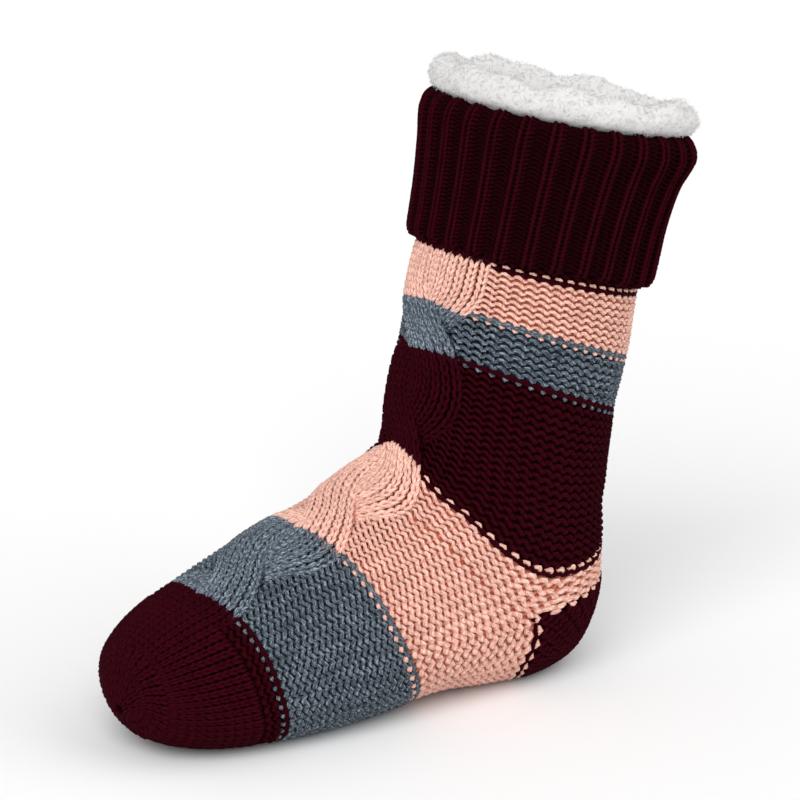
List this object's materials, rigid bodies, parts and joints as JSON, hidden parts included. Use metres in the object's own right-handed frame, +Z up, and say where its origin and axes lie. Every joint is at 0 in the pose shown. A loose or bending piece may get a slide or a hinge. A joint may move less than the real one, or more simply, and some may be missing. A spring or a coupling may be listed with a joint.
{
  "type": "house sock",
  "caption": "Chunky knitted slipper sock with a cable front, wide stripes, a contrast heel and toe, a turned-down ribbed cuff and a fleece collar, standing on its sole.",
  "frame": {"origin": "on the floor, in the middle of the flat under the heel", "axes": "+X to the toe, +Y to the wearer's left, +Z up along the leg"},
  "size_m": [0.2862, 0.1197, 0.2765],
  "materials": {
    "knit_sock": "chunky acrylic knit, matt, in burgundy, salmon pink and melange blue-grey stripes",
    "rib_cuff": "burgundy rib knit, matt",
    "fleece_collar": "off-white curly fleece pile, matt"
  },
  "bodies": {
    "root": {"knit_sock": "knit_sock", "rib_cuff": "rib_cuff", "fleece_collar": "fleece_collar"}
  },
  "joints": []
}
